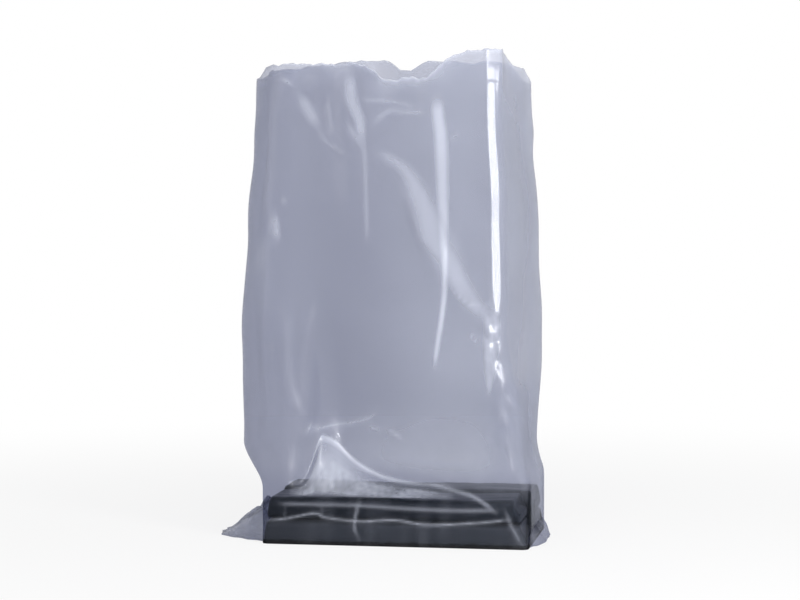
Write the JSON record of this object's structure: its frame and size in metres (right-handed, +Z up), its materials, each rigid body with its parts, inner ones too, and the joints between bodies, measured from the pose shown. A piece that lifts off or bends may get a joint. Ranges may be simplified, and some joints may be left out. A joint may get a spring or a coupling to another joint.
{
  "type": "poly mailer bag",
  "caption": "Clear, faintly lavender film mailer bag standing open at the top with crumpled lips, squared off at its foot by a dark folded film bundle inside, with flat seal ears.",
  "frame": {"origin": "centre of the flat base that the folded bundle squares off, on the table", "axes": "+Z up to the open mouth, front wall towards -Y, the long seal ear towards -X"},
  "size_m": [0.334, 0.1734, 0.4992],
  "materials": {
    "film": "clear polyethylene film with a faint lavender tint, glossy and softly creased",
    "bundle": "dark green-grey film folded into a stack, satin with glossy folds"
  },
  "bodies": {
    "root": {"film_bag": "film", "front_stack": "bundle", "rear_stack": "bundle"}
  },
  "joints": []
}
